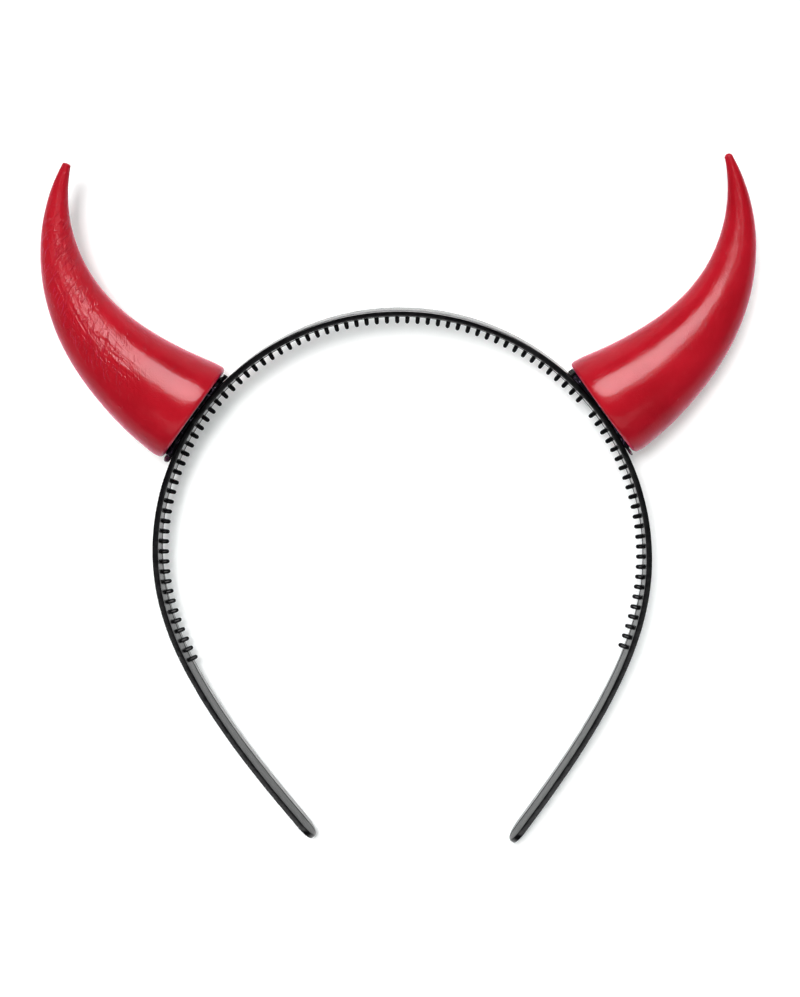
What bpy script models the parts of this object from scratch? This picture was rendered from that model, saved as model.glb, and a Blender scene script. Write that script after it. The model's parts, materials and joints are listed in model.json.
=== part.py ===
"""Devil horns headband, lying on its side on a flat surface.

A black comb headband carries two curved red horns, each glued over a black seat. Everything is laid out in
the plane of the headband: x runs across the head, y towards the crown, and z is the width of the band. The
empty "lying_pose" then tips that plane so that the leg ends and the round horn bases touch the ground.
"""

import math

import bmesh
import bpy
import numpy as np
from mathutils import Matrix

MM = 0.001
CLEARANCE = 0.3 * MM

# Headband. Its outer face runs from the left leg end over the crown to the right leg end. It starts at a point,
# in a direction in degrees, and bends by the radii below, with a steady change of bend between one and the next.
BAND_START = (-23.0 * MM, -73.8 * MM)
BAND_DIRECTION = 129.3
BAND_LENGTH = 363.4 * MM
# Each row: distance from the leg ends, then the bend radius of the left leg and of the right one. Both leg ends
# are straight, and so the last row holds for the whole crown, where the two radii meet gradually.
BAND_BENDS = [
    (50.0 * MM, 136.0 * MM, 131.0 * MM),
    (75.0 * MM, 57.0 * MM, 60.5 * MM),
    (100.0 * MM, 61.0 * MM, 63.5 * MM),
]
BAND_WIDTH = 10.0 * MM
BAND_THICKNESS = 1.45 * MM
RIDGE_HEIGHT = 0.45 * MM
BAND_EDGE_RADIUS = 0.3 * MM
LEG_END_RADIUS = 5.0 * MM
BAND_STATIONS = 66
LEG_END_STATIONS = 6
# The turn at which the quarter circle of a leg end starts, so that its very end stays a narrow flat.
LEG_END_START = math.radians(8)

# Comb teeth, counted from the left leg. One tooth is missing.
FIRST_TOOTH = 56.4 * MM
TOOTH_PITCH = 2.666 * MM
# The pitch is slightly wider near both ends of the row, so teeth stand up to this far from an even spacing.
TOOTH_DRIFT = 0.5 * MM
TOOTH_COUNT = 94
MISSING_TOOTH = 68
TOOTH_SIDES = 8
# Height above the ridge, half thickness along the band and half width across it, in mm. The first row is below
# the ridge, where a tooth grows out of the band.
TOOTH_PROFILE = [(-0.3, 0.6, 1.15), (1.2, 0.53, 0.85), (1.7, 0.27, 0.4)]

# Horn. Both horns come from one mould: a hollow cone bent towards the crown. Each row holds the share of the
# length, the lean of the centre line in degrees and the outer radius in mm.
HORN_LENGTH = 75.0 * MM
HORN_PROFILE = [
    (0.0, -10.0, 14.0),
    (0.15, 0.5, 12.4),
    (0.3, 8.5, 10.5),
    (0.5, 24.5, 7.75),
    (0.75, 49.5, 4.2),
    (1.0, 75.0, 1.05),
]
HORN_WALL = 1.6 * MM
HORN_RIM_RADIUS = 1.3 * MM
HORN_SQUARE_SHARE = 0.12
HORN_HOLLOW_SHARE = 0.8
HORN_SIDES = 24
# Shares of the length with a ring of points, up the inside and up the outside, and turns of the rounded ends.
HORN_INSIDE = np.linspace(HORN_HOLLOW_SHARE, 0.1, 8)
HORN_OUTSIDE = np.linspace(0.05, 1.0, 14)
HORN_RIM_TURNS = np.radians([0, 45, 90])
HORN_TIP_TURNS = np.radians([35, 65])

# Where each horn sits: distance along the band to its middle, and its gap to the band there.
SEATS = {
    "left": (123.0 * MM, 0.6 * MM),
    "right": (240.0 * MM, 0.3 * MM),
}
# Both horns are turned by this much from the band's own direction.
SEAT_TURN = -1.0

# Seat: a plug in the horn's mouth, with a saddle that fills the wedge between horn base and band. Each saddle
# reaches from one distance to the other, measured along the band from the middle of the horn.
PLUG_DEPTH = 1.8 * MM
SADDLE_WIDTH = 10.8 * MM
SADDLE_REACH = {
    "left": (-11.7 * MM, 12.9 * MM),
    "right": (-11.8 * MM, 11.4 * MM),
}
SADDLE_STATIONS = 13
SEAT_SURROUNDINGS = 25.0 * MM
# The left saddle ends in a thorn: distances before its end and depths below the horn's rim.
THORN = [(0.7 * MM, 0.7 * MM), (1.6 * MM, 1.2 * MM)]

# Squeezed-out glue at the lower end of each horn: middle along the band, half length and half width.
GLUE_BEADS = {
    "left": (-13.1 * MM, 1.1 * MM, 3.4 * MM),
    "right": (12.9 * MM, 1.1 * MM, 2.6 * MM),
}

# The search for the tilt at rest starts between flat and this tilt, and halves the range this many times.
MOST_TILT = math.radians(15)
TILT_STEPS = 40

# Base colour and roughness.
MATERIALS = {
    "black_plastic": ((0.012, 0.011, 0.013), 0.22),
    "red_plastic": ((0.55, 0.012, 0.022), 0.16),
    "black_seat": ((0.01, 0.009, 0.011), 0.3),
    "glue": ((0.06, 0.03, 0.05), 0.06),
}


def clear_scene():
    for obj in list(bpy.data.objects):
        bpy.data.objects.remove(obj, do_unlink=True)


def spline(knots, values, at):
    """Natural cubic spline through values at the knots, read at each position in at."""
    knots = np.asarray(knots, float)
    values = np.asarray(values, float)
    step = np.diff(knots)
    slope = np.diff(values) / step
    matrix = np.eye(len(knots))
    right = np.zeros(len(knots))
    for i in range(1, len(knots) - 1):
        matrix[i, i - 1] = step[i - 1]
        matrix[i, i] = 2 * (step[i - 1] + step[i])
        matrix[i, i + 1] = step[i]
        right[i] = 6 * (slope[i] - slope[i - 1])
    bend = np.linalg.solve(matrix, right)
    at = np.asarray(at, float)
    i = np.clip(np.searchsorted(knots, at) - 1, 0, len(knots) - 2)
    u = at - knots[i]
    linear = slope[i] - step[i] * (2 * bend[i] + bend[i + 1]) / 6
    return values[i] + u * linear + u**2 * bend[i] / 2 + u**3 * (bend[i + 1] - bend[i]) / (6 * step[i])


class BandPath:
    """The outer face of the headband, as a curve read by distance from the left leg end."""

    def __init__(self, samples=4000):
        left = [(distance, 1 / radius) for distance, radius, _ in BAND_BENDS]
        right = [(BAND_LENGTH - distance, 1 / radius) for distance, _, radius in reversed(BAND_BENDS)]
        marks, bends = zip((0.0, 0.0), *left, *right, (BAND_LENGTH, 0.0))
        self.length = BAND_LENGTH
        self.distance = np.linspace(0, BAND_LENGTH, samples)
        step = self.distance[1]
        bend = np.interp(self.distance, marks, bends)
        turned = np.concatenate([[0], np.cumsum((bend[1:] + bend[:-1]) / 2 * step)])
        heading = math.radians(BAND_DIRECTION) - turned
        self.tangents = np.stack([np.cos(heading), np.sin(heading)], axis=1)
        steps = (self.tangents[1:] + self.tangents[:-1]) / 2 * step
        self.points = np.array(BAND_START) + np.concatenate([np.zeros((1, 2)), np.cumsum(steps, axis=0)])

    def read(self, table, distance):
        return np.array([np.interp(distance, self.distance, table[:, axis]) for axis in (0, 1)])

    def at(self, distance):
        """Point, tangent and inward normal at a distance along the path."""
        point = self.read(self.points, distance)
        tangent = self.read(self.tangents, distance)
        tangent /= np.hypot(*tangent)
        inward = np.array([tangent[1], -tangent[0]])
        return point, tangent, inward


def loft(rings):
    """A closed mesh through rings of equal length, with a flat face over each end."""
    shape = bmesh.new()
    loops = [[shape.verts.new(point) for point in ring] for ring in rings]
    for ring, following in zip(loops, loops[1:]):
        for i in range(len(ring)):
            j = (i + 1) % len(ring)
            shape.faces.new((ring[i], ring[j], following[j], following[i]))
    shape.faces.new(loops[0][::-1])
    shape.faces.new(loops[-1])
    bmesh.ops.recalc_face_normals(shape, faces=shape.faces)
    return shape


def make_material(name):
    colour, roughness = MATERIALS[name]
    material = bpy.data.materials.new(name)
    material.use_nodes = True
    surface = material.node_tree.nodes["Principled BSDF"]
    surface.inputs["Base Color"].default_value = (*colour, 1.0)
    surface.inputs["Roughness"].default_value = roughness
    surface.inputs["Metallic"].default_value = 0.0
    material.diffuse_color = (*colour, 1.0)
    return material


def make_object(name, shape, material=None, sharp_degrees=35):
    """Turns a bmesh into an object that is shaded smooth up to the sharp angle."""
    mesh = bpy.data.meshes.new(name)
    shape.to_mesh(mesh)
    shape.free()
    mesh.shade_smooth()
    mesh.set_sharp_from_angle(angle=math.radians(sharp_degrees))
    obj = bpy.data.objects.new(name, mesh)
    bpy.context.scene.collection.objects.link(obj)
    if material:
        mesh.materials.append(material)
    return obj


def join_solid(obj, other):
    """Adds the other shape to the object with a Boolean union, and leaves the other out of the render."""
    modifier = obj.modifiers.new(other.name, "BOOLEAN")
    modifier.operation = "UNION"
    modifier.solver = "EXACT"
    modifier.object = other
    other.hide_render = True
    other.display_type = "WIRE"


def band_section(half_width, thickness):
    """Section of the band as (width, depth from the outer face) pairs: square edges and a roof-shaped inside."""
    radius = min(BAND_EDGE_RADIUS, 0.45 * thickness)
    slant = radius * (1 - math.sqrt(0.5))
    outer = [(half_width - radius, 0.0), (half_width - slant, slant), (half_width, radius)]
    inner = [(width, thickness - depth) for width, depth in reversed(outer)]
    half = outer + inner
    ridge = [(0.0, thickness + RIDGE_HEIGHT * 2 * half_width / BAND_WIDTH)]
    return half + ridge + [(-width, depth) for width, depth in reversed(half)]


def band_stations(length):
    """Distances along the path, closer together where the leg ends round off."""
    turn = np.linspace(LEG_END_START, math.pi / 2, LEG_END_STATIONS + 1)[:-1]
    rounding = LEG_END_RADIUS * (1 - np.cos(turn))
    middle = np.linspace(LEG_END_RADIUS, length - LEG_END_RADIUS, BAND_STATIONS)
    return np.concatenate([rounding, middle, length - rounding[::-1]])


def half_width_at(distance, length):
    """Half the band's width, which shrinks along a quarter circle at each leg end."""
    from_end = min(distance, length - distance)
    if from_end >= LEG_END_RADIUS:
        return BAND_WIDTH / 2
    return math.sqrt(LEG_END_RADIUS**2 - (LEG_END_RADIUS - from_end) ** 2)


def make_band(path, material):
    rings = []
    for distance in band_stations(path.length):
        point, _, inward = path.at(distance)
        section = band_section(half_width_at(distance, path.length), BAND_THICKNESS)
        rings.append([(*(point + inward * depth), width) for width, depth in section])
    band = make_object("headband", loft(rings), material)
    teeth = make_object("comb_teeth", tooth_row(path))
    join_solid(band, teeth)
    return band, teeth


def tooth_row(path):
    """All teeth as separate closed pegs that stand on the ridge inside the band."""
    teeth = bmesh.new()
    turn = np.linspace(0, 2 * math.pi, TOOTH_SIDES, endpoint=False) + math.pi / TOOTH_SIDES
    for number in range(TOOTH_COUNT):
        if number == MISSING_TOOTH:
            continue
        drift = TOOTH_DRIFT * math.sin(2 * math.pi * number / (TOOTH_COUNT - 1))
        point, tangent, inward = path.at(FIRST_TOOTH + number * TOOTH_PITCH + drift)
        ridge = point + inward * (BAND_THICKNESS + RIDGE_HEIGHT)
        rings = []
        for height, half_thick, half_wide in TOOTH_PROFILE:
            centre = ridge + inward * height * MM
            along = tangent * half_thick * MM
            rings.append([(*(centre + along * math.cos(a)), half_wide * MM * math.sin(a)) for a in turn])
        tooth = loft(rings)
        mesh = bpy.data.meshes.new("tooth")
        tooth.to_mesh(mesh)
        tooth.free()
        teeth.from_mesh(mesh)
        bpy.data.meshes.remove(mesh)
    return teeth


class HornShape:
    """Centre line, lean and radius of the horn, in a frame with its base at y = 0 and its axis along +y."""

    def __init__(self, samples=400):
        share = [row[0] for row in HORN_PROFILE]
        self.share = np.linspace(0, 1, samples)
        self.lean = np.radians(spline(share, [row[1] for row in HORN_PROFILE], self.share))
        self.radius = spline(share, [row[2] * MM for row in HORN_PROFILE], self.share)
        step = HORN_LENGTH / (samples - 1)
        mid_lean = (self.lean[1:] + self.lean[:-1]) / 2
        self.x = np.concatenate([[0], np.cumsum(-np.sin(mid_lean) * step)])
        self.y = np.concatenate([[0], np.cumsum(np.cos(mid_lean) * step)])

    def at(self, share):
        """Centre, lean and radius. Past the end, the centre line runs straight on."""
        inside = min(share, 1.0)
        x, y, lean, radius = (
            float(np.interp(inside, self.share, table)) for table in (self.x, self.y, self.lean, self.radius)
        )
        beyond = (share - inside) * HORN_LENGTH
        return x - math.sin(lean) * beyond, y + math.cos(lean) * beyond, lean, radius

    def ring(self, share, radius, side):
        """A ring of points. Near the base it lies parallel to the base, then square to the centre line."""
        x, y, lean, _ = self.at(share)
        blend = min(share / HORN_SQUARE_SHARE, 1.0)
        lean *= blend * blend * (3 - 2 * blend)
        points = []
        for turn in np.linspace(0, 2 * math.pi, HORN_SIDES, endpoint=False):
            reach = radius * math.cos(turn)
            across = x + reach * math.cos(lean)
            points.append((side * across, y + reach * math.sin(lean), radius * math.sin(turn)))
        return points


def make_horn(name, horn, side, material):
    """One shell: from the end of the hollow down to the rim, round the rim, and up the outside to the tip."""
    rings = []
    for share in [*HORN_INSIDE, PLUG_DEPTH / HORN_LENGTH, 0.0]:
        rings.append(horn.ring(share, horn.at(share)[3] - HORN_WALL, side))
    for turn in HORN_RIM_TURNS:
        share = HORN_RIM_RADIUS * (1 - math.cos(turn)) / HORN_LENGTH
        radius = horn.at(share)[3] - HORN_RIM_RADIUS * (1 - math.sin(turn))
        rings.append(horn.ring(share, radius, side))
    for share in HORN_OUTSIDE:
        rings.append(horn.ring(share, horn.at(share)[3], side))
    tip_radius = horn.at(1.0)[3]
    for turn in HORN_TIP_TURNS:
        share = 1.0 + tip_radius * math.sin(turn) / HORN_LENGTH
        rings.append(horn.ring(share, tip_radius * math.cos(turn), side))
    return make_object(name, loft(rings), material)


def seat_frame(path, side_name):
    """Matrix of the horn's base: origin at its centre, x along the band towards the right leg, y outwards."""
    distance, gap = SEATS[side_name]
    point, tangent, inward = path.at(distance)
    origin = point - inward * gap
    angle = math.atan2(tangent[1], tangent[0]) + math.radians(SEAT_TURN)
    return Matrix.Translation((*origin, 0.0)) @ Matrix.Rotation(angle, 4, "Z")


def band_below(path, frame, along):
    """Height of the band's outer face in the seat's frame, at distances along the seat."""
    to_seat = np.array(frame.inverted())
    local = path.points @ to_seat[:2, :2].T + to_seat[:2, 3]
    near = np.hypot(local[:, 0], local[:, 1]) < SEAT_SURROUNDINGS
    order = np.argsort(local[near, 0])
    return np.interp(along, local[near, 0][order], local[near, 1][order])


def make_plug(name, horn, side, material):
    """The round plug inside the horn's mouth, clear of the wall all round."""
    rings = []
    for share in (0.0, PLUG_DEPTH / HORN_LENGTH):
        rings.append(horn.ring(share, horn.at(share)[3] - HORN_WALL - CLEARANCE, side))
    return make_object(name, loft(rings), material)


def make_saddle(name, path, frame, reach, has_thorn, plug_radius):
    """A block as wide as the band: its underside follows the band, and its middle rises into the plug."""
    along = np.linspace(*reach, SADDLE_STATIONS)
    outline = [(x, y + CLEARANCE) for x, y in zip(along, band_below(path, frame, along))]
    if has_thorn:
        outline += [(reach[1] - before, -below) for before, below in THORN]
    inside = math.sqrt(plug_radius**2 - (SADDLE_WIDTH / 2) ** 2) - CLEARANCE
    start = -CLEARANCE
    outline += [(inside, start), (inside, PLUG_DEPTH / 2), (-inside, PLUG_DEPTH / 2), (-inside, start)]
    outline.append((reach[0], start))
    if not has_thorn:
        outline.insert(len(along), (reach[1], start))
    shape = loft([[(x, y, z) for x, y in outline] for z in (-SADDLE_WIDTH / 2, SADDLE_WIDTH / 2)])
    return make_object(name, shape)


def make_glue(name, path, frame, middle, half_length, half_width, material):
    """A bead of glue in the open wedge between the band and the horn's rim."""
    depth = -float(band_below(path, frame, middle))
    half_height = depth / 2 - CLEARANCE
    bead = bmesh.new()
    bmesh.ops.create_uvsphere(bead, u_segments=12, v_segments=8, radius=1.0)
    for vertex in bead.verts:
        x, y, z = vertex.co
        vertex.co = (middle + half_length * x, half_height * y - depth / 2, half_width * z)
    return make_object(name, bead, material)


def lowest(obj, turn):
    """Lowest height of the object's points once the plane of the headband is tipped by turn."""
    matrix = Matrix.Rotation(turn, 4, "X") @ obj.matrix_basis
    return min((matrix @ vertex.co).z for vertex in obj.data.vertices)


def resting_tilt(band, horns):
    """The tilt at which the leg ends and the horn bases touch the ground together."""
    low, high = 0.0, MOST_TILT
    for _ in range(TILT_STEPS):
        turn = (low + high) / 2
        if min(lowest(horn, turn) for horn in horns) < lowest(band, turn):
            low = turn
        else:
            high = turn
    return turn


def main():
    clear_scene()
    materials = {name: make_material(name) for name in MATERIALS}
    path = BandPath()
    band, teeth = make_band(path, materials["black_plastic"])
    plane = [band, teeth]
    horns = []
    shape = HornShape()
    plug_radius = shape.at(0.0)[3] - HORN_WALL - CLEARANCE
    for side_name, side in (("left", -1), ("right", 1)):
        frame = seat_frame(path, side_name)
        horn = make_horn("horn_" + side_name, shape, side, materials["red_plastic"])
        seat = make_plug("seat_" + side_name, shape, side, materials["black_seat"])
        reach = SADDLE_REACH[side_name]
        saddle = make_saddle("saddle_" + side_name, path, frame, reach, side < 0, plug_radius)
        join_solid(seat, saddle)
        bead = make_glue("glue_" + side_name, path, frame, *GLUE_BEADS[side_name], materials["glue"])
        for obj in (horn, seat, saddle, bead):
            obj.matrix_basis = frame
            plane.append(obj)
        horns.append(horn)

    tilt = resting_tilt(band, horns)
    tipped = Matrix.Rotation(tilt, 4, "X")
    corners = np.array([tipped @ obj.matrix_basis @ v.co for obj in [band] + horns for v in obj.data.vertices])
    low, high = corners.min(axis=0), corners.max(axis=0)
    pose = bpy.data.objects.new("lying_pose", None)
    bpy.context.scene.collection.objects.link(pose)
    pose.location = (-(low[0] + high[0]) / 2, -(low[1] + high[1]) / 2, -low[2])
    pose.rotation_euler = (tilt, 0.0, 0.0)
    for obj in plane:
        obj.parent = pose


main()
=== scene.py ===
import json
import math

import bmesh
import bpy
import numpy as np
from mathutils import Matrix, Vector, noise


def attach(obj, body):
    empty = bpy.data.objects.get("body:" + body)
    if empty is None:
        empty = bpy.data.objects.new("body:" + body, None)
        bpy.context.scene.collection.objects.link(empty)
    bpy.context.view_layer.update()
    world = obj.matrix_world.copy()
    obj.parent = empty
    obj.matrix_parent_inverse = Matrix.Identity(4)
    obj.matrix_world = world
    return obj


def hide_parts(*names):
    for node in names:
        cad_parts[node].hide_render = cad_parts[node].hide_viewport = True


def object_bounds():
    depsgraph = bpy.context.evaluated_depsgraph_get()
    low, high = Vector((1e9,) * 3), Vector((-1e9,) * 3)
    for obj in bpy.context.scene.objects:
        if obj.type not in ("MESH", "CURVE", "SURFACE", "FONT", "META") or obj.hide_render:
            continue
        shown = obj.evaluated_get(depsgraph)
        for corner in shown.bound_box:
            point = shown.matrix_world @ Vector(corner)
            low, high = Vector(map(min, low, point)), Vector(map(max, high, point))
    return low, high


# Devil horns headband: the looks of the part. Lengths are in metres, and MM turns millimetres into them.
# Pieces are made in the plane of the headband (x across the head, y towards the crown, z the band's width),
# and the mount in the part's record tells how that plane lies on the floor.
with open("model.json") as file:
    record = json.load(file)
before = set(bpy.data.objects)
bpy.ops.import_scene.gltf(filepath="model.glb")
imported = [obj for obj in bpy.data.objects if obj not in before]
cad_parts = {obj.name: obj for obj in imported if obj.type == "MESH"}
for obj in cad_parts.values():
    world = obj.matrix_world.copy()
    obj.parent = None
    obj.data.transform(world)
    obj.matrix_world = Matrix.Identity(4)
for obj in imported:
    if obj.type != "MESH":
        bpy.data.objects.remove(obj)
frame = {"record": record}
cad_low, cad_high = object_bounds()

MM = 0.001

# Headband: the same path and section as the part's solid.
BAND_START = (-23.0 * MM, -73.8 * MM)
BAND_DIRECTION = 129.3
BAND_LENGTH = 363.4 * MM
# Where the bend is set: distance from a leg end, then the radius there on the left and on the right.
BAND_BENDS = [
    (50.0 * MM, 136.0 * MM, 131.0 * MM),
    (75.0 * MM, 57.0 * MM, 60.5 * MM),
    (100.0 * MM, 61.0 * MM, 63.5 * MM),
]
BAND_WIDTH = 10.0 * MM
BAND_THICKNESS = 1.45 * MM
RIDGE_HEIGHT = 0.45 * MM
BAND_EDGE_RADIUS = 0.3 * MM
LEG_END_RADIUS = 5.0 * MM
BAND_STATIONS = 620
LEG_END_STATIONS = 28
# The leg ends thin down to this share of the thickness, over this share of their rounding.
LEG_END_THINNEST = 0.62
LEG_END_TAPER = 0.3
# The moulding isn't quite even: its outline wanders in and out by up to this much.
BAND_WANDER = 0.035 * MM
# The moulding's parting line: a fine rib on the ridge.
RIB_HALF_WIDTH = 0.16 * MM
RIB_HEIGHT = 0.1 * MM

FIRST_TOOTH = 56.4 * MM
TOOTH_PITCH = 2.666 * MM
TOOTH_DRIFT = 0.5 * MM
TOOTH_COUNT = 94
MISSING_TOOTH = 68
TOOTH_SIDES = 20
# Each tooth came out of the mould a little different: its lean, as a slope, and the spread of its size.
TOOTH_LEAN = 0.05
TOOTH_SPREAD = 0.04
# Height above the ridge, half thickness along the band and half width across it, in mm.
TOOTH_PROFILE = [
    (-0.45, 0.95, 1.7),
    (-0.2, 0.72, 1.4),
    (0.1, 0.6, 1.2),
    (0.5, 0.56, 1.08),
    (0.9, 0.56, 0.98),
    (1.25, 0.53, 0.86),
    (1.5, 0.44, 0.68),
    (1.65, 0.28, 0.42),
    (1.71, 0.1, 0.14),
]

# Horns: the same centre line and radius as the part's solids.
HORN_LENGTH = 75.0 * MM
# Share of the length, lean of the centre line in degrees, and radius in mm.
HORN_PROFILE = [
    (0.0, -10.0, 14.0),
    (0.15, 0.5, 12.4),
    (0.3, 8.5, 10.5),
    (0.5, 24.5, 7.75),
    (0.75, 49.5, 4.2),
    (1.0, 75.0, 1.05),
]
HORN_WALL = 1.6 * MM
HORN_RIM_RADIUS = 0.9 * MM
HORN_SQUARE_SHARE = 0.12
HORN_HOLLOW_SHARE = 0.8
# How far each tip bulges, as a share of its radius.
TIP_ROUNDING = {"left": 0.35, "right": 1.0}
HORN_SIDES = 144
HORN_STATIONS = 260
# The outside draws in a little towards the rim, over this height.
DRAW_HEIGHT = 3.4 * MM
DRAW_DEPTH = 0.5 * MM
# The outside is uneven: broad swells of up to this height, and finer ones.
SWELL_HEIGHT = 0.09 * MM
FINE_SWELL_HEIGHT = 0.018 * MM

# Seats: where each one is along the band, and how far it stands off the band's outer face.
SEATS = {
    "left": (123.0 * MM, 0.6 * MM),
    "right": (240.0 * MM, 0.3 * MM),
}
SEAT_TURN = -1.0
PLUG_DEPTH = 1.8 * MM
PLUG_EDGE_RADIUS = 0.35 * MM
SADDLE_WIDTH = 10.8 * MM
# The stiff core of the saddle is this share of its width.
CORE_SHARE = 0.84
CORE_STATIONS = 60
# How far each saddle reaches along the band, to the left and to the right of the horn's centre.
SADDLE_REACH = {
    "left": (-11.7 * MM, 12.9 * MM),
    "right": (-11.8 * MM, 11.4 * MM),
}
# The thorn's outline, from its tip to the notch beside it: how far each point is before the saddle's end,
# and how far below the seat.
THORN = [(0.1 * MM, 0.45 * MM), (0.75 * MM, 1.35 * MM), (1.9 * MM, 1.3 * MM)]
# The thorn starts at this place across the band.
THORN_FROM = 2.0 * MM
# The glue: how far it stops short of the saddle's end at the crown, how its ends round off, how far it
# reaches into the band below it, and how far into the horn's mouth above it.
GLUE_SHORT = {"left": 2.4 * MM, "right": 0.7 * MM}
GLUE_ROUNDING = 1.2 * MM
GLUE_OVERLAP = 0.08 * MM
GLUE_RISE = 0.12 * MM
GLUE_STATIONS = 110
CLEARANCE = 0.3 * MM
SEAT_SURROUNDINGS = 25.0 * MM
# Beads of glue: where each one is along the seat, its half length and its half width.
GLUE_BEADS = {
    "left": (-13.1 * MM, 1.1 * MM, 3.4 * MM),
    "right": (12.9 * MM, 1.1 * MM, 2.6 * MM),
}

# Camera over the plane of the headband: what it looks at, its distance, and how far its line of sight leans
# towards the crown and to the right.
CAMERA_TARGET = Vector((-0.5 * MM, 14.6 * MM, 0.0))
CAMERA_DISTANCE = 526 * MM
CAMERA_LEAN_TO_CROWN = math.radians(9.5)
CAMERA_LEAN_TO_RIGHT = math.radians(1.1)
CAMERA_LENS = 94.68
CAMERA_SENSOR_WIDTH = 36.0
CAMERA_CLIP_END = 20.0

FLOOR_SIZE = 3.0
FLOOR_GAP = 0.02 * MM

# Light, as radiance where white paper in full light is about 1.
STUDIO_GLOW = 0.08
FLOOR_GLOW = 0.38
KEY_RADIANCE = 56.0
FILL_RADIANCE = 1.6
GLEAM_RADIANCE = 42.0
FOOT_RADIANCE = 3.0

# Each horn: its side, the sign of x on that side, the depth of its brush marks, and the strength of its
# narrow gleam.
HORNS = (("left", -1, 1.0, 0.22), ("right", 1, 0.12, 0.25))


# Shapes


def spline(knots, values, at):
    """Natural cubic spline through values at the knots, read at each position in at."""
    knots = np.asarray(knots, float)
    values = np.asarray(values, float)
    step = np.diff(knots)
    slope = np.diff(values) / step
    matrix = np.eye(len(knots))
    right = np.zeros(len(knots))
    for i in range(1, len(knots) - 1):
        matrix[i, i - 1] = step[i - 1]
        matrix[i, i] = 2 * (step[i - 1] + step[i])
        matrix[i, i + 1] = step[i]
        right[i] = 6 * (slope[i] - slope[i - 1])
    bend = np.linalg.solve(matrix, right)
    at = np.asarray(at, float)
    i = np.clip(np.searchsorted(knots, at) - 1, 0, len(knots) - 2)
    u = at - knots[i]
    linear = slope[i] - step[i] * (2 * bend[i] + bend[i + 1]) / 6
    cubic = (bend[i + 1] - bend[i]) / (6 * step[i])
    return values[i] + u * linear + u**2 * bend[i] / 2 + u**3 * cubic


class BandPath:
    """The outer face of the headband, as a curve read by distance from the left leg end."""

    def __init__(self, samples=8000):
        left = [(distance, 1 / radius) for distance, radius, _ in BAND_BENDS]
        right = [(BAND_LENGTH - distance, 1 / radius) for distance, _, radius in reversed(BAND_BENDS)]
        marks, bends = zip((0.0, 0.0), *left, *right, (BAND_LENGTH, 0.0))
        self.distance = np.linspace(0, BAND_LENGTH, samples)
        step = self.distance[1]
        bend = np.interp(self.distance, marks, bends)
        turned = np.concatenate([[0], np.cumsum((bend[1:] + bend[:-1]) / 2 * step)])
        heading = math.radians(BAND_DIRECTION) - turned
        self.tangents = np.stack([np.cos(heading), np.sin(heading)], axis=1)
        steps = (self.tangents[1:] + self.tangents[:-1]) / 2 * step
        self.points = np.array(BAND_START) + np.concatenate([np.zeros((1, 2)), np.cumsum(steps, axis=0)])

    def read(self, table, distance):
        return np.array([np.interp(distance, self.distance, table[:, axis]) for axis in (0, 1)])

    def at(self, distance):
        """Point, tangent and inward normal at a distance along the path."""
        point = self.read(self.points, distance)
        tangent = self.read(self.tangents, distance)
        tangent /= np.hypot(*tangent)
        inward = np.array([tangent[1], -tangent[0]])
        return point, tangent, inward


class HornShape:
    """Centre line, lean and radius of the horn, in a frame with its base at y = 0 and its axis along +y."""

    def __init__(self, samples=1200):
        share = [row[0] for row in HORN_PROFILE]
        self.share = np.linspace(0, 1, samples)
        self.lean = np.radians(spline(share, [row[1] for row in HORN_PROFILE], self.share))
        self.radius = spline(share, [row[2] * MM for row in HORN_PROFILE], self.share)
        step = HORN_LENGTH / (samples - 1)
        mid_lean = (self.lean[1:] + self.lean[:-1]) / 2
        self.x = np.concatenate([[0], np.cumsum(-np.sin(mid_lean) * step)])
        self.y = np.concatenate([[0], np.cumsum(np.cos(mid_lean) * step)])

    def at(self, share):
        """Centre, lean and radius. Past the end, the centre line runs straight on."""
        inside = min(share, 1.0)
        tables = (self.x, self.y, self.lean, self.radius)
        x, y, lean, radius = (float(np.interp(inside, self.share, table)) for table in tables)
        beyond = (share - inside) * HORN_LENGTH
        return x - math.sin(lean) * beyond, y + math.cos(lean) * beyond, lean, radius

    def ring(self, share, radii, side, turns):
        """A ring of points with its own radius at each turn. Near the base it lies parallel to the base."""
        x, y, lean, _ = self.at(share)
        blend = min(share / HORN_SQUARE_SHARE, 1.0)
        lean *= blend * blend * (3 - 2 * blend)
        reach = radii * np.cos(turns)
        across = x + reach * math.cos(lean)
        return np.stack([side * across, y + reach * math.sin(lean), radii * np.sin(turns)], axis=1)


def loft(rings, along=None):
    """A closed mesh through rings of equal length.

    Its UV map has metres round the ring, from a quarter turn after its start, and metres along the rings.
    """
    shape = bmesh.new()
    loops = [[shape.verts.new(point) for point in ring] for ring in rings]
    uv = shape.loops.layers.uv.new("Surface")
    count = len(rings[0])
    for k, (ring, following) in enumerate(zip(loops, loops[1:])):
        around = np.linalg.norm(np.diff(np.array(rings[k]), axis=0), axis=1).sum()
        here = along[k] if along is not None else k
        there = along[k + 1] if along is not None else k + 1
        for i in range(count):
            j = (i + 1) % count
            face = shape.faces.new((ring[i], ring[j], following[j], following[i]))
            start = (i / count + 0.25) % 1.0 - 0.5
            end = start + 1 / count
            corners = [(start, here), (end, here), (end, there), (start, there)]
            for loop, (u, v) in zip(face.loops, corners):
                loop[uv].uv = (u * around, v)
    shape.faces.new(loops[0][::-1])
    shape.faces.new(loops[-1])
    bmesh.ops.recalc_face_normals(shape, faces=shape.faces)
    return shape


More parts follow.
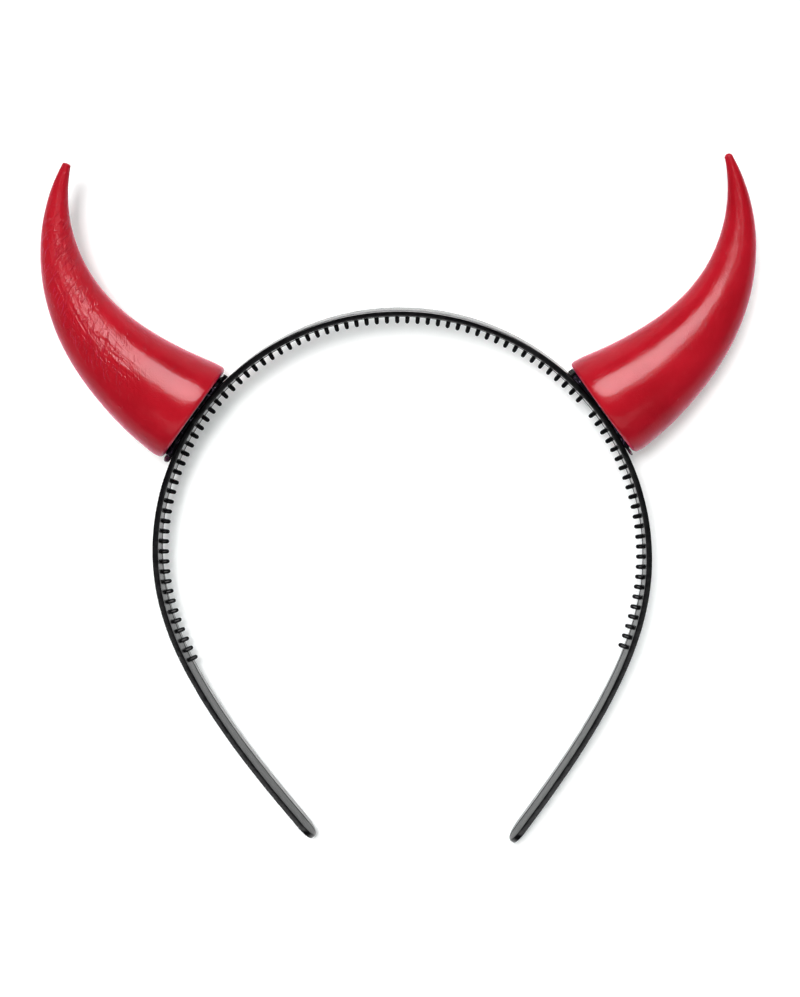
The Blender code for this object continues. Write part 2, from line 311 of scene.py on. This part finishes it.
def make_piece(name, shape, materials, nodes=(), sharp_degrees=50):
    """Turns a bmesh in the headband's plane into a finished piece that lies as the part does."""
    mesh = bpy.data.meshes.new(name)
    bmesh.ops.transform(shape, matrix=LYING, verts=shape.verts)
    shape.to_mesh(mesh)
    shape.free()
    mesh.shade_smooth()
    mesh.set_sharp_from_angle(angle=math.radians(sharp_degrees))
    for material in materials:
        mesh.materials.append(material)
    piece = bpy.data.objects.new(name, mesh)
    bpy.context.scene.collection.objects.link(piece)
    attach(piece, "root")
    if nodes:
        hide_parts(*nodes)
    return piece


def band_section(half_width, thickness):
    """Section of the band as (width, depth) pairs: round edges, a flat outside and a roof-shaped inside."""
    scale = 2 * half_width / BAND_WIDTH
    radius = min(BAND_EDGE_RADIUS, 0.45 * thickness)
    half = []
    for turn in np.radians([90, 67.5, 45, 22.5, 0]):
        half.append((half_width - radius * (1 - math.cos(turn)), radius * (1 - math.sin(turn))))
    for turn in np.radians([0, 22.5, 45, 67.5, 90]):
        across = half_width - radius * (1 - math.cos(turn))
        half.append((across, thickness - radius * (1 - math.sin(turn))))
    rib = min(RIB_HALF_WIDTH, 0.3 * half_width)
    slope = RIDGE_HEIGHT * scale / half_width
    for width in (0.75 * half_width, 0.5 * half_width, 0.25 * half_width, 2 * rib, 1.25 * rib):
        half.append((width, thickness + slope * (half_width - width)))
    crest = thickness + RIDGE_HEIGHT * scale
    half.append((0.7 * rib, crest + 0.8 * RIB_HEIGHT * scale))
    return half + [(0.0, crest + RIB_HEIGHT * scale)] + [(-width, depth) for width, depth in reversed(half)]


def band_stations():
    """Distances along the path, closer together where the leg ends round off."""
    turn = np.linspace(math.radians(6), math.pi / 2, LEG_END_STATIONS + 1)[:-1]
    rounding = LEG_END_RADIUS * (1 - np.cos(turn))
    middle = np.linspace(LEG_END_RADIUS, BAND_LENGTH - LEG_END_RADIUS, BAND_STATIONS)
    return np.concatenate([rounding, middle, BAND_LENGTH - rounding[::-1]])


def half_width_at(distance):
    """Half the band's width, which shrinks along a quarter circle at each leg end."""
    from_end = min(distance, BAND_LENGTH - distance)
    if from_end >= LEG_END_RADIUS:
        return BAND_WIDTH / 2
    return math.sqrt(LEG_END_RADIUS**2 - (LEG_END_RADIUS - from_end) ** 2)


def thickness_at(distance):
    """The band's thickness: its leg ends taper off softly over the last millimetres."""
    from_end = min(distance, BAND_LENGTH - distance)
    share = min(from_end / (LEG_END_TAPER * LEG_END_RADIUS), 1.0)
    rest = 1 - LEG_END_THINNEST
    return BAND_THICKNESS * (LEG_END_THINNEST + rest * math.sqrt(1 - (1 - share) ** 2))


def add_tooth(teeth, path, number):
    drift = TOOTH_DRIFT * math.sin(2 * math.pi * number / (TOOTH_COUNT - 1))
    point, tangent, inward = path.at(FIRST_TOOTH + number * TOOTH_PITCH + drift)
    ridge = point + inward * (BAND_THICKNESS + RIDGE_HEIGHT)
    turns = np.linspace(0, 2 * math.pi, TOOTH_SIDES, endpoint=False)
    lean = TOOTH_LEAN * noise.noise(Vector((number * 1.7, 0.3, 5.0)))
    size = 1 + TOOTH_SPREAD * noise.noise(Vector((number * 2.3, 7.1, 1.0)))
    loops = []
    for height, half_thick, half_wide in TOOTH_PROFILE:
        centre = ridge + (inward + tangent * lean) * height * MM
        ring = []
        for turn in turns:
            along = centre + tangent * half_thick * size * MM * math.cos(turn)
            ring.append(teeth.verts.new((*along, half_wide * size * MM * math.sin(turn))))
        loops.append(ring)
    for ring, following in zip(loops, loops[1:]):
        for i in range(TOOTH_SIDES):
            j = (i + 1) % TOOTH_SIDES
            teeth.faces.new((ring[i], ring[j], following[j], following[i]))
    teeth.faces.new(loops[0][::-1])
    teeth.faces.new(loops[-1])


def make_headband(path, materials):
    stations = band_stations()
    rings = []
    for distance in stations:
        point, _, inward = path.at(distance)
        wander = BAND_WANDER * noise.noise(Vector((distance * 90, 3.0, 0.0)))
        section = band_section(half_width_at(distance), thickness_at(distance))
        rings.append([(*(point + inward * (depth + wander)), width) for width, depth in section])
    band = loft(rings, stations)
    teeth = bmesh.new()
    for number in range(TOOTH_COUNT):
        if number != MISSING_TOOTH:
            add_tooth(teeth, path, number)
    bmesh.ops.recalc_face_normals(teeth, faces=teeth.faces)
    for face in teeth.faces:
        face.material_index = 1
    joined = bpy.data.meshes.new("teeth")
    teeth.to_mesh(joined)
    teeth.free()
    band.from_mesh(joined)
    bpy.data.meshes.remove(joined)
    return make_piece("headband_moulding", band, materials, ["headband"])


def horn_relief(side, share, turns):
    """How far the outside stands proud of the plain horn, in metres, at each turn round it."""
    height = share * HORN_LENGTH
    relief = np.full(len(turns), -DRAW_DEPTH * max(1 - height / DRAW_HEIGHT, 0.0) ** 2)
    for i, turn in enumerate(turns):
        place = Vector((math.cos(turn) * 0.8, math.sin(turn) * 0.8, height * 45 + 10 * side))
        relief[i] += SWELL_HEIGHT * noise.noise(place)
        fine = Vector((math.cos(turn) * 2.2, math.sin(turn) * 2.2, height * 130 + 20 * side))
        relief[i] += FINE_SWELL_HEIGHT * noise.noise(fine)
    return relief


def make_horn(side_name, side, horn, seat, material):
    """One shell: from the end of the hollow down to the rim, round the rim, and up the outside to the tip."""
    turns = np.linspace(0, 2 * math.pi, HORN_SIDES, endpoint=False)
    even = np.ones(HORN_SIDES)
    rings = []
    along = []

    def add(share, radii):
        rings.append(horn.ring(share, radii, side, turns))
        along.append(share * HORN_LENGTH)

    for share in np.linspace(HORN_HOLLOW_SHARE, 0.0, 40):
        add(share, even * (horn.at(share)[3] - HORN_WALL))
    for turn in np.radians(np.linspace(0, 90, 12)):
        share = HORN_RIM_RADIUS * (1 - math.cos(turn)) / HORN_LENGTH
        radius = horn.at(share)[3] - HORN_RIM_RADIUS * (1 - math.sin(turn))
        add(share, even * radius + horn_relief(side, share, turns))
    start = HORN_RIM_RADIUS / HORN_LENGTH
    for share in start + (1 - start) * np.linspace(0.002, 1.0, HORN_STATIONS) ** 1.15:
        add(share, even * horn.at(share)[3] + horn_relief(side, share, turns))
    tip_radius = horn.at(1.0)[3]
    for turn in np.radians(np.linspace(8, 84, 12)):
        beyond = TIP_ROUNDING[side_name] * tip_radius * math.sin(turn)
        add(1.0 + beyond / HORN_LENGTH, even * tip_radius * math.cos(turn))
    shape = loft(rings, along)
    bmesh.ops.transform(shape, matrix=seat, verts=shape.verts)
    name = side_name + "_horn_shell"
    return make_piece(name, shape, [material], ["horn_" + side_name])


def seat_frame(path, side_name):
    """Matrix of the horn's base: origin at its centre, x along the band towards the right leg, y outwards."""
    distance, gap = SEATS[side_name]
    point, tangent, inward = path.at(distance)
    origin = point - inward * gap
    angle = math.atan2(tangent[1], tangent[0]) + math.radians(SEAT_TURN)
    return Matrix.Translation((*origin, 0.0)) @ Matrix.Rotation(angle, 4, "Z")


def band_below(path, seat, along):
    """Height of the band's outer face in the seat's frame, at distances along the seat."""
    to_seat = np.array(seat.inverted())
    local = path.points @ to_seat[:2, :2].T + to_seat[:2, 3]
    near = np.hypot(local[:, 0], local[:, 1]) < SEAT_SURROUNDINGS
    order = np.argsort(local[near, 0])
    return np.interp(along, local[near, 0][order], local[near, 1][order])


def add_shape(target, shape):
    """Adds one bmesh to another and frees it."""
    mesh = bpy.data.meshes.new("part")
    shape.to_mesh(mesh)
    shape.free()
    target.from_mesh(mesh)
    bpy.data.meshes.remove(mesh)


def saddle_core(path, seat, side, low, high):
    """The stiff block between band and horn. On the left a thorn sticks up at one edge of its end."""
    widths = CORE_SHARE * SADDLE_WIDTH / 2 * np.sin(np.linspace(-math.pi / 2, math.pi / 2, 12))
    end = high - THORN[-1][0] if side < 0 else high
    top = [(x, -CLEARANCE / 3) for x in np.linspace(end, low, CORE_STATIONS)[1:]]
    rings = []
    for width in widths:
        thorny = side < 0 and width > THORN_FROM
        along = np.linspace(low, high if thorny else end, CORE_STATIONS)
        outline = list(zip(along, band_below(path, seat, along) + CLEARANCE / 3))
        if thorny:
            outline += [(high - before, -below) for before, below in THORN]
        else:
            rise = np.linspace(outline[-1][1], -CLEARANCE / 3, len(THORN) + 2)
            outline += [(end, y) for y in rise[1:-1]]
        rings.append([(x, y, width) for x, y in outline + top])
    core = loft(rings)
    for face in core.faces:
        face.material_index = 1
    return core


def glue_wedge(path, seat, side, low, high):
    """The glue pressed out between band and horn: a lumpy body in the wedge, which rounds off at its ends."""
    if side < 0:
        high -= GLUE_SHORT["left"]
    else:
        low += GLUE_SHORT["right"]
    stations = np.linspace(low, high, GLUE_STATIONS)
    bottom = band_below(path, seat, stations) - GLUE_OVERLAP
    turns = np.linspace(0, 2 * math.pi, 40, endpoint=False)
    rings = []
    for x, below in zip(stations, bottom):
        from_end = min(x - low, high - x) / GLUE_ROUNDING
        swell = math.sqrt(1 - (1 - min(from_end + 0.02, 1.0)) ** 2)
        middle = (GLUE_RISE + below) / 2
        half_height = (GLUE_RISE - below) / 2
        ring = []
        for turn in turns:
            across, up = math.cos(turn), math.sin(turn)
            z = SADDLE_WIDTH / 2 * math.copysign(abs(across) ** 0.3, across)
            y = middle + half_height * math.copysign(abs(up) ** 0.6, up) * (0.4 + 0.6 * swell)
            lump = noise.noise(Vector((x * 620 + 9 * side, y * 500, z * 160)))
            fine = noise.noise(Vector((x * 1500, y * 1500 + 3 * side, z * 500)))
            z *= (0.9 + 0.1 * swell) * (1 + 0.07 * lump + 0.03 * fine)
            ring.append((x, y + 0.05 * MM * fine, z))
        rings.append(ring)
    return loft(rings)


def make_seat(side_name, side, path, horn, seat, materials):
    """The black cap in the horn's mouth, with the lumpy glued wedge below it."""
    turns = np.linspace(0, 2 * math.pi, 96, endpoint=False)
    even = np.ones(len(turns))
    rings = []
    mouth = horn.at(0.0)[3] - HORN_WALL - CLEARANCE
    for turn in np.radians(np.linspace(0, 90, 5)):
        radius = mouth - PLUG_EDGE_RADIUS * (1 - math.sin(turn))
        share = PLUG_EDGE_RADIUS * (1 - math.cos(turn)) / HORN_LENGTH
        rings.append(horn.ring(share, even * radius, side, turns))
    share = PLUG_DEPTH / HORN_LENGTH
    rings.append(horn.ring(share, even * (horn.at(share)[3] - HORN_WALL - CLEARANCE), side, turns))
    plug = loft(rings)
    low, high = SADDLE_REACH[side_name]
    add_shape(plug, saddle_core(path, seat, side, low, high))
    add_shape(plug, glue_wedge(path, seat, side, low, high))
    bmesh.ops.transform(plug, matrix=seat, verts=plug.verts)
    name = side_name + "_seat_glued"
    return make_piece(name, plug, materials, ["seat_" + side_name])


def make_bead(side_name, path, seat, material):
    """A squeezed-out bead of glue: a few drops run together in the open wedge below the horn's rim."""
    middle, half_length, half_width = GLUE_BEADS[side_name]
    depth = -float(band_below(path, seat, middle))
    half_height = depth / 2 - CLEARANCE
    bead = bmesh.new()
    bmesh.ops.create_icosphere(bead, subdivisions=5, radius=1.0)
    for vertex in bead.verts:
        x, y, z = vertex.co
        swell = 1 + 0.12 * noise.noise(Vector((x * 1.5 + 3, y * 1.5, z * 2.5)))
        along = middle + half_length * x * swell
        height = half_height * y * swell - depth / 2
        vertex.co = (along, height, half_width * z * swell)
    bmesh.ops.transform(bead, matrix=seat, verts=bead.verts)
    return make_piece(side_name + "_glue_bead", bead, [material], ["glue_" + side_name])


# Materials


class Nodes:
    """Short calls for building a material's node tree."""

    def __init__(self, name):
        self.material = bpy.data.materials.new(name)
        self.material.use_nodes = True
        self.tree = self.material.node_tree
        self.surface = self.tree.nodes["Principled BSDF"]

    def add(self, kind, inputs=(), **settings):
        node = self.tree.nodes.new(kind)
        for key, value in settings.items():
            setattr(node, key, value)
        for key, value in dict(inputs).items():
            self.give(node.inputs[key], value)
        return node

    def give(self, socket, value):
        if isinstance(value, bpy.types.NodeSocket):
            self.tree.links.new(value, socket)
        else:
            socket.default_value = value

    def ramp(self, value, stops):
        """A colour ramp with the given (position, colour) stops."""
        node = self.add("ShaderNodeValToRGB", {"Fac": value})
        elements = node.color_ramp.elements
        for element, (position, colour) in zip(elements, (stops[0], stops[-1])):
            element.position = position
            element.color = (*colour, 1.0)
        for position, colour in stops[1:-1]:
            element = elements.new(position)
            element.color = (*colour, 1.0)
        return node.outputs["Color"]

    def range(self, value, low, high, to_low, to_high):
        inputs = {"Value": value, "From Min": low, "From Max": high, "To Min": to_low, "To Max": to_high}
        return self.add("ShaderNodeMapRange", inputs).outputs["Result"]

    def noise(self, vector, scale, detail=2.0, roughness=0.5, distortion=0.0):
        inputs = {"Vector": vector, "Scale": scale, "Detail": detail, "Roughness": roughness}
        node = self.add("ShaderNodeTexNoise", {**inputs, "Distortion": distortion})
        return node.outputs["Fac"]

    def stretched(self, vector, scale):
        return self.add("ShaderNodeMapping", {"Vector": vector, "Scale": scale}).outputs["Vector"]

    def math(self, operation, first, second):
        node = self.add("ShaderNodeMath", operation=operation)
        self.give(node.inputs[0], first)
        self.give(node.inputs[1], second)
        return node.outputs["Value"]

    def bump(self, height, distance, strength=1.0, normal=None):
        inputs = {"Height": height, "Distance": distance, "Strength": strength}
        node = self.add("ShaderNodeBump", inputs)
        if normal is not None:
            self.give(node.inputs["Normal"], normal)
        return node.outputs["Normal"]


def black_plastic(name, ior):
    """Black moulded plastic. The teeth and saddles are duller than the band, so their ior is lower."""
    n = Nodes(name)
    place = n.add("ShaderNodeTexCoord").outputs["Object"]
    cloud = n.noise(place, 160, 3)
    stops = [(0.3, (0.0006, 0.0005, 0.0008)), (0.7, (0.002, 0.0016, 0.0022))]
    n.give(n.surface.inputs["Base Color"], n.ramp(cloud, stops))
    smear = n.noise(n.stretched(place, (1, 1, 3)), 420, 4, 0.6)
    n.give(n.surface.inputs["Roughness"], n.range(smear, 0.35, 0.7, 0.14, 0.26))
    n.surface.inputs["IOR"].default_value = ior
    peel = n.bump(n.noise(place, 2600, 2), 0.00003)
    wave = n.bump(n.noise(place, 420, 2), 0.00008, 1.0, peel)
    n.give(n.surface.inputs["Normal"], wave)
    return n.material


def red_plastic(name, strokes):
    """Glossy red plastic. strokes sets how deep the brush-like marks in its gloss are."""
    n = Nodes(name)
    place = n.add("ShaderNodeTexCoord").outputs["Object"]
    surface_map = n.add("ShaderNodeUVMap", uv_map="Surface").outputs["UV"]
    cloud = n.noise(place, 70, 4, 0.6)
    stops = [(0.3, (0.36, 0.006, 0.013)), (0.7, (0.47, 0.0098, 0.02))]
    n.give(n.surface.inputs["Base Color"], n.ramp(cloud, stops))
    smear = n.noise(place, 700, 4, 0.65)
    n.give(n.surface.inputs["Roughness"], n.range(smear, 0.35, 0.7, 0.06, 0.13))
    n.surface.inputs["IOR"].default_value = 1.18
    n.surface.inputs["Specular Tint"].default_value = (1.0, 0.86, 0.9, 1.0)
    n.surface.inputs["Sheen Weight"].default_value = 0.4
    n.surface.inputs["Sheen Roughness"].default_value = 0.4
    n.surface.inputs["Sheen Tint"].default_value = (1.0, 0.08, 0.3, 1.0)
    # Grain and a few nicks.
    grain = n.bump(n.range(n.noise(place, 2600, 1, 0.5), 0.5, 0.75, 0.0, 1.0), 0.00002)
    nicks = n.bump(n.range(n.noise(place, 420, 2, 0.5), 0.72, 0.8, 0.0, 1.0), 0.0001, 1.0, grain)
    # The patch that the brush went over: where it starts and fades, along the horn and then across it.
    axes = n.add("ShaderNodeSeparateXYZ", {"Vector": surface_map}).outputs
    starts = n.range(axes["Y"], 0.013, 0.022, 0.0, 1.0)
    fades = n.range(axes["Y"], 0.052, 0.068, 1.0, 0.35)
    along = n.math("MULTIPLY", starts, fades)
    starts = n.range(axes["X"], -0.006, -0.002, 0.0, 1.0)
    fades = n.range(axes["X"], 0.003, 0.006, 1.0, 0.2)
    across = n.math("MULTIPLY", starts, fades)
    patch = n.math("MULTIPLY", along, across)
    # Its marks: long ones along the horn, and short ones that slant across it.
    lengthways = n.noise(n.stretched(surface_map, (1250, 150, 1)), 1.0, 1, 0.5, 0.7)
    brushed = n.bump(n.math("MULTIPLY", lengthways, patch), 0.0003 * strokes, 1.0, nicks)
    mapping = n.add("ShaderNodeMapping", {"Vector": surface_map, "Rotation": (0.0, 0.0, 0.8)})
    slanted = mapping.outputs["Vector"]
    short = n.range(n.noise(n.stretched(slanted, (1100, 300, 1)), 1.0, 1, 0.5, 1.2), 0.52, 0.64, 0.0, 1.0)
    dabs = n.bump(n.math("MULTIPLY", short, patch), 0.00018 * strokes, 1.0, brushed)
    n.give(n.surface.inputs["Normal"], dabs)
    return n.material


def black_seat():
    """Black cap under hard glue, with painted highlights: purplish and whitish glint specks painted into its
    colour.
    """
    n = Nodes("black_seat")
    place = n.add("ShaderNodeTexCoord").outputs["Object"]
    lumps = n.noise(place, 900, 3, 0.6)
    painted_glints = n.noise(place, 1300, 2, 0.5)
    # The upper two stops paint purplish and whitish glints into the base colour, as painted highlights.
    stops = [(0.57, (0.002, 0.0015, 0.003)), (0.64, (0.05, 0.03, 0.065)), (0.72, (0.3, 0.24, 0.32))]
    n.give(n.surface.inputs["Base Color"], n.ramp(painted_glints, stops))
    n.give(n.surface.inputs["Roughness"], n.range(lumps, 0.35, 0.7, 0.5, 0.25))
    n.surface.inputs["IOR"].default_value = 1.12
    n.give(n.surface.inputs["Normal"], n.bump(lumps, 0.00009))
    return n.material


def glue():
    n = Nodes("glue")
    place = n.add("ShaderNodeTexCoord").outputs["Object"]
    swirl = n.noise(place, 500, 3, 0.5, 1.0)
    stops = [(0.35, (0.02, 0.006, 0.02)), (0.65, (0.2, 0.07, 0.12))]
    n.give(n.surface.inputs["Base Color"], n.ramp(swirl, stops))
    n.surface.inputs["Roughness"].default_value = 0.1
    n.surface.inputs["IOR"].default_value = 1.4
    n.give(n.surface.inputs["Normal"], n.bump(swirl, 0.0001))
    return n.material


def white_floor():
    """White sweep with a little light of its own, as on a light table, so that shadows on it stay pale."""
    n = Nodes("white_floor")
    place = n.add("ShaderNodeTexCoord").outputs["Object"]
    cloud = n.noise(place, 6, 2)
    stops = [(0.3, (0.74, 0.74, 0.74)), (0.7, (0.76, 0.76, 0.76))]
    n.give(n.surface.inputs["Base Color"], n.ramp(cloud, stops))
    n.surface.inputs["Roughness"].default_value = 0.9
    n.surface.inputs["Specular IOR Level"].default_value = 0.1
    n.surface.inputs["Emission Color"].default_value = (0.95, 1.0, 0.995, 1.0)
    n.surface.inputs["Emission Strength"].default_value = FLOOR_GLOW
    return n.material


# Stage


def make_floor():
    shape = bmesh.new()
    bmesh.ops.create_grid(shape, x_segments=8, y_segments=8, size=FLOOR_SIZE)
    mesh = bpy.data.meshes.new("floor")
    shape.to_mesh(mesh)
    shape.free()
    mesh.materials.append(white_floor())
    floor = bpy.data.objects.new("floor", mesh)
    bpy.context.scene.collection.objects.link(floor)
    floor.location = (0.0, 0.0, cad_low.z - FLOOR_GAP)


def add_softbox(
    name,
    direction,
    distance,
    size,
    radiance,
    long_axis=(1.0, 0.0, 0.0),
    gleam=False,
    shape="RECTANGLE",
):
    """A soft light that faces the object. A gleam shows in glossy surfaces, and the others only light.

    The radiance is what it would show in a mirror.
    """
    light = bpy.data.lights.new(name, "AREA")
    light.shape = shape
    light.size, light.size_y = size
    filled = math.pi / 4 if shape == "ELLIPSE" else 1.0
    light.energy = radiance * math.pi * size[0] * size[1] * filled
    softbox = bpy.data.objects.new(name, light)
    bpy.context.scene.collection.objects.link(softbox)
    away = Vector(direction).normalized()
    short = away.cross(Vector(long_axis)).normalized()
    axes = Matrix((short.cross(away), short, away)).transposed().to_4x4()
    softbox.matrix_world = Matrix.Translation(away * distance) @ axes
    softbox.visible_diffuse = not gleam
    softbox.visible_glossy = gleam


def make_lights():
    world = bpy.data.worlds.new("studio")
    world.use_nodes = True
    background = world.node_tree.nodes["Background"]
    background.inputs["Color"].default_value = (1.0, 1.0, 1.0, 1.0)
    background.inputs["Strength"].default_value = STUDIO_GLOW
    bpy.context.scene.world = world
    # The key hangs high at the upper left and casts the short soft shadow. The fill comes from the crown.
    add_softbox("key_softbox", (-0.11, 0.2, 1.0), 1.5, (0.34, 0.34), KEY_RADIANCE)
    add_softbox("crown_fill", (0.0, 0.66, 0.75), 1.4, (1.2, 0.9), FILL_RADIANCE)
    # The softbox above the crown gives both horns their broad gleam, and a narrow one each draws it out.
    above = (0.01, 0.69, 0.72)
    add_softbox("broad_gleam", above, 1.1, (0.92, 0.84), GLEAM_RADIANCE, gleam=True, shape="ELLIPSE")
    for side_name, side, _, share in HORNS:
        away = (0.38 * side, 0.26, 0.88)
        slope = (-0.91 * side, 0.36, 0.4)
        name = side_name + "_narrow_gleam"
        add_softbox(name, away, 1.1, (0.6, 0.05), GLEAM_RADIANCE * share, slope, gleam=True)
    add_softbox("foot_gleam", (0.0, -0.6, 0.8), 1.1, (1.6, 0.6), FOOT_RADIANCE, gleam=True)


def make_camera():
    """The camera of the photograph, set in the headband's plane and laid down with it."""
    camera = bpy.data.cameras.new("camera")
    camera.sensor_fit = "HORIZONTAL"
    camera.sensor_width = CAMERA_SENSOR_WIDTH
    camera.lens = CAMERA_LENS
    camera.clip_end = CAMERA_CLIP_END
    camera.dof.use_dof = False
    view = bpy.data.objects.new("camera", camera)
    bpy.context.scene.collection.objects.link(view)
    across = math.sin(CAMERA_LEAN_TO_RIGHT)
    ahead = math.sin(CAMERA_LEAN_TO_CROWN)
    back = Vector((across, ahead, math.sqrt(1 - across**2 - ahead**2)))
    right = Vector((0.0, 1.0, 0.0)).cross(back).normalized()
    up = back.cross(right)
    place = CAMERA_TARGET + back * CAMERA_DISTANCE
    columns = Matrix((right, up, back)).transposed().to_4x4()
    view.matrix_world = LYING @ Matrix.Translation(place) @ columns
    bpy.context.scene.camera = view


def lying_pose(path):
    """How the plane of the headband lies, from the mount on the band's side edge at the crown."""
    mount = frame["record"]["mounts"][0]
    tilt = math.asin(mount["axis"][1])
    point, _, inward = path.at(BAND_LENGTH / 2)
    edge = Vector((*(point + inward * BAND_THICKNESS / 2), -BAND_WIDTH / 2))
    turn = Matrix.Rotation(tilt, 4, "X")
    return Matrix.Translation(Vector(mount["pos_m"]) - turn @ edge) @ turn


path = BandPath()
LYING = lying_pose(path)
horn = HornShape()

band_material = black_plastic("black_plastic", 1.32)
teeth_material = black_plastic("black_plastic_teeth", 1.16)
make_headband(path, [band_material, teeth_material])
seat_materials = [black_seat(), black_plastic("black_plastic_saddle", 1.01)]
glue_material = glue()
for side_name, side, strokes, _ in HORNS:
    seat = seat_frame(path, side_name)
    make_horn(side_name, side, horn, seat, red_plastic("red_plastic_" + side_name, strokes))
    make_seat(side_name, side, path, horn, seat, seat_materials)
    make_bead(side_name, path, seat, glue_material)
make_floor()
make_lights()
make_camera()

bpy.context.scene.view_settings.view_transform = "Standard"
